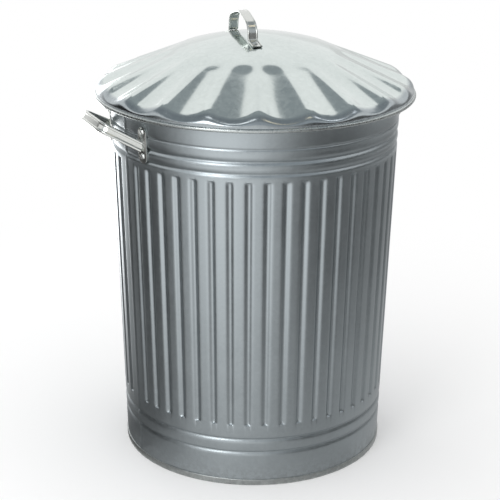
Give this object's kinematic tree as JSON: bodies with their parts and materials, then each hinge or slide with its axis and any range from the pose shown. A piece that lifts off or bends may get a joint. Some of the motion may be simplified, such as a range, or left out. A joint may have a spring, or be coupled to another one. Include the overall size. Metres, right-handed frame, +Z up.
{
  "type": "galvanised dustbin",
  "caption": "Tapered galvanised sheet dustbin with vertical flutes, ring beads, two loop side handles and a loose fluted domed lid with a strap handle.",
  "frame": {"origin": "centre of the footprint, on the floor", "axes": "+Z up; the left side handle lies on -X and the right one 5 degrees off +X"},
  "size_m": [0.5526, 0.5042, 0.7096],
  "materials": {
    "galvanised_sheet": "hot-dip zinc, satin with soft spangle",
    "galvanised_lid_sheet": "hot-dip zinc, brighter satin",
    "galvanised_bead": "hot-dip zinc, smooth",
    "galvanised_strap": "hot-dip zinc, bright",
    "zinc_rivet": "bright zinc"
  },
  "bodies": {
    "bin": {"body_shell": "galvanised_sheet", "body_top_bead": "galvanised_bead", "base_pan": "galvanised_sheet", "foot_hoop": "galvanised_bead", "left_handle": "galvanised_strap", "right_handle": "galvanised_strap", "left_handle_rivets": "zinc_rivet", "right_handle_rivets": "zinc_rivet"},
    "lid": {"lid_shell": "galvanised_lid_sheet", "lid_rim_bead": "galvanised_bead", "lid_handle": "galvanised_strap", "lid_handle_rivets": "zinc_rivet"}
  },
  "joints": [
    {"name": "lid_lift", "type": "slide", "parent": "bin", "child": "lid", "axis": [0, 0, 1], "range_m": [0, 0.3]}
  ]
}
